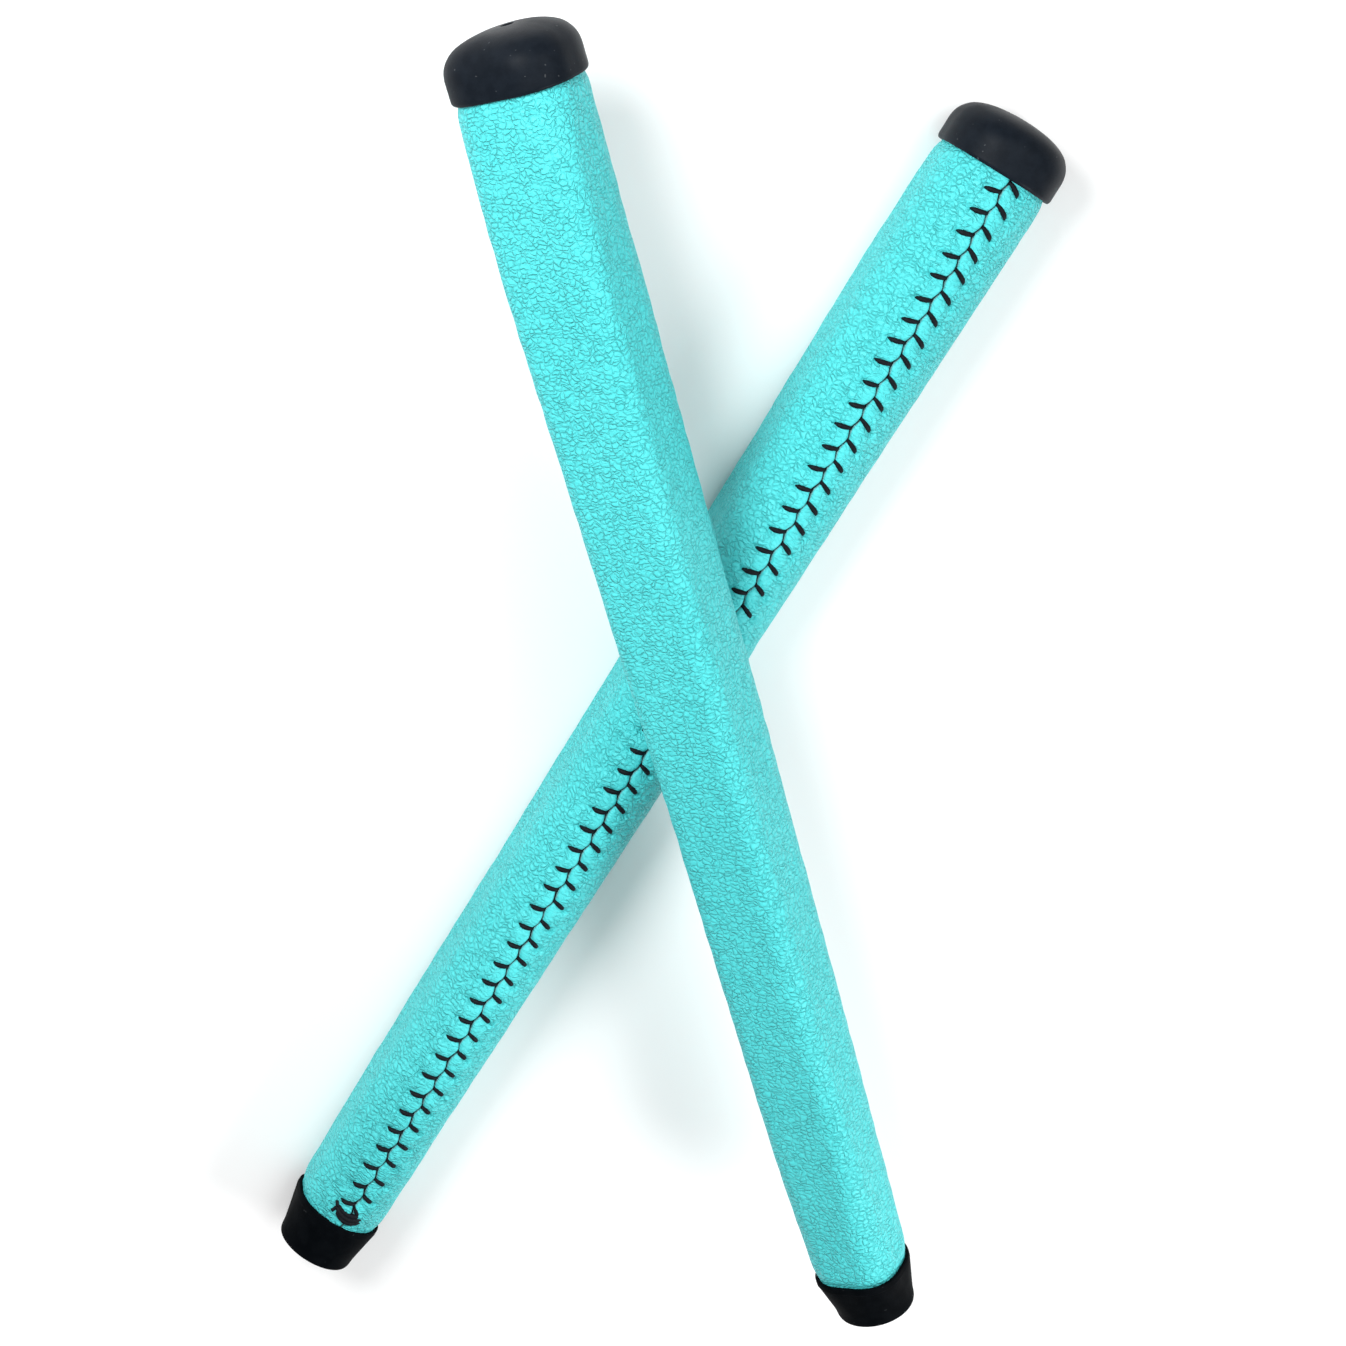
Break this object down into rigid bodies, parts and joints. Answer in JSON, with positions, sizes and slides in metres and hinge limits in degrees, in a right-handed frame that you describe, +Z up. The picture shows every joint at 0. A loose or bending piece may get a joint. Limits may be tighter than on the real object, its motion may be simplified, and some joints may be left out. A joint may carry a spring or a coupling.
{
  "type": "laced leather grip stick pair",
  "caption": "Two slim tapered grip sticks with a flat front, wrapped in laced turquoise leather with black rubber end caps, lying crossed one over the other.",
  "frame": {"origin": "on the table, under the middle of the pair's footprint", "axes": "+Z up off the table, +Y along the longer side of the footprint towards the two butt caps, +X to the right of it, towards the lower stick's cap"},
  "size_m": [0.1539, 0.2602, 0.0466],
  "materials": {
    "turquoise_leather": "soft full-grain leather with a pebbled grain, satin",
    "black_rubber": "smooth moulded rubber, satin",
    "sleeve_rubber": "plain moulded rubber, matt",
    "waxed_thread": "twisted black thread with a dull wax shine"
  },
  "bodies": {
    "lower_stick": {"lower_core": "sleeve_rubber", "lower_cap": "black_rubber", "lower_collar": "black_rubber", "lower_leather": "turquoise_leather", "lower_lacing": "waxed_thread", "lower_tie_off": "waxed_thread"},
    "upper_stick": {"upper_core": "sleeve_rubber", "upper_cap": "black_rubber", "upper_collar": "black_rubber", "upper_leather": "turquoise_leather", "upper_lacing": "waxed_thread", "upper_tie_off": "waxed_thread"}
  },
  "joints": [
    {"name": "upper_stick_lift", "type": "slide", "parent": "lower_stick", "child": "upper_stick", "axis": [0, 0, 1], "range_m": [0, 0.06]}
  ]
}
